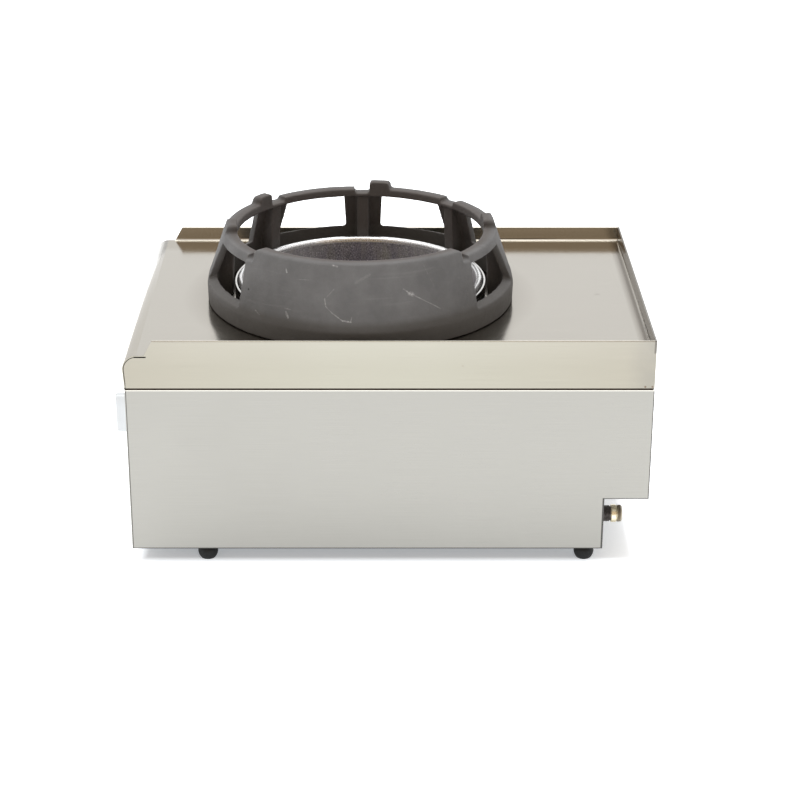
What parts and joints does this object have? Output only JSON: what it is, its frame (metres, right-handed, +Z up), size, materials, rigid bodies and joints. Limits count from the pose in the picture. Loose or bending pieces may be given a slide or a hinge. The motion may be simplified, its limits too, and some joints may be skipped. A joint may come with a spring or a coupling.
{
  "type": "wok range",
  "caption": "Table-top gas wok range: stainless cabinet with a bordered worktop, a deep burner bowl and a lift-off cast ring that holds the wok.",
  "frame": {"origin": "on the ground under the middle of the whole outline, knob included", "axes": "+Z up, -Y to the front with the knob, +X to the appliance's right side"},
  "size_m": [0.4, 0.636, 0.3572],
  "materials": {
    "worktop_steel": "fine brushed stainless sheet with a soft mirror sheen",
    "body_steel": "brushed stainless sheet, grain along its length",
    "bright_steel": "polished stainless",
    "bowl_steel": "spun stainless, darkened by heat inside",
    "foot_rubber": "matt black rubber",
    "screw_steel": "zinc-plated steel",
    "ring_iron": "matt heat-proof coated casting with fine scratches",
    "burner_iron": "raw casting",
    "crown_brass": "machined brass, dulled by heat",
    "bracket_steel": "galvanised sheet",
    "tap_aluminium": "die-cast body",
    "pipe_brass": "turned brass and copper pipe",
    "dark_steel": "blackened steel",
    "knob_silver": "silver-coated plastic"
  },
  "bodies": {
    "cabinet": {"worktop": "worktop_steel", "burner_collar": "bright_steel", "side_panel_right": "body_steel", "side_panel_left": "body_steel", "front_panel": "body_steel", "rear_panel": "body_steel", "inlet_recess_panel": "body_steel", "base_panel": "body_steel", "feet": "foot_rubber", "foot_screws": "screw_steel", "foot_nuts": "screw_steel", "rear_screws": "screw_steel", "burner_body": "burner_iron", "burner_bracket": "bracket_steel", "bracket_screws": "screw_steel", "injector_bracket": "bracket_steel", "injector_holder": "pipe_brass", "injector": "pipe_brass", "air_shutter": "bracket_steel", "gas_tap": "tap_aluminium", "tap_cap": "tap_aluminium", "tap_screws": "screw_steel", "knob_bezel": "bright_steel", "inlet_nipple": "pipe_brass", "inlet_stub": "dark_steel", "inlet_backnut": "pipe_brass", "manifold_pipe": "dark_steel", "manifold_nut": "pipe_brass", "supply_pipe": "pipe_brass", "supply_nuts": "pipe_brass", "pilot_plate": "bracket_steel", "pilot_burner": "pipe_brass", "pilot_pipe": "pipe_brass", "thermocouple": "bright_steel", "thermocouple_lead": "pipe_brass"},
    "tap_plug": {"tap_plug": "pipe_brass"},
    "knob": {"tap_stem": "bright_steel", "control_knob": "knob_silver"},
    "bowl": {"burner_bowl": "bowl_steel"},
    "ring": {"wok_ring": "ring_iron"},
    "crown": {"burner_crown": "crown_brass"},
    "cap": {"burner_cap": "crown_brass"}
  },
  "joints": [
    {"name": "knob_turn", "type": "hinge", "parent": "cabinet", "child": "tap_plug", "pos_m": [0, -0.282, 0.106], "axis": [0, -1, 0], "range_deg": [0, 190]},
    {"name": "knob_push", "type": "slide", "parent": "tap_plug", "child": "knob", "axis": [0, 1, 0], "range_m": [0, 0.004], "stiffness_N_per_m": 900, "springref_m": -0.004},
    {"name": "bowl_lift", "type": "slide", "parent": "cabinet", "child": "bowl", "axis": [0, 0, 1], "range_m": [0, 0.2]},
    {"name": "ring_lift", "type": "slide", "parent": "bowl", "child": "ring", "axis": [0, 0, 1], "range_m": [0, 0.12]},
    {"name": "crown_lift", "type": "slide", "parent": "cabinet", "child": "crown", "axis": [0, 0, 1], "range_m": [0, 0.16]},
    {"name": "cap_lift", "type": "slide", "parent": "crown", "child": "cap", "axis": [0, 0, 1], "range_m": [0, 0.05]}
  ]
}
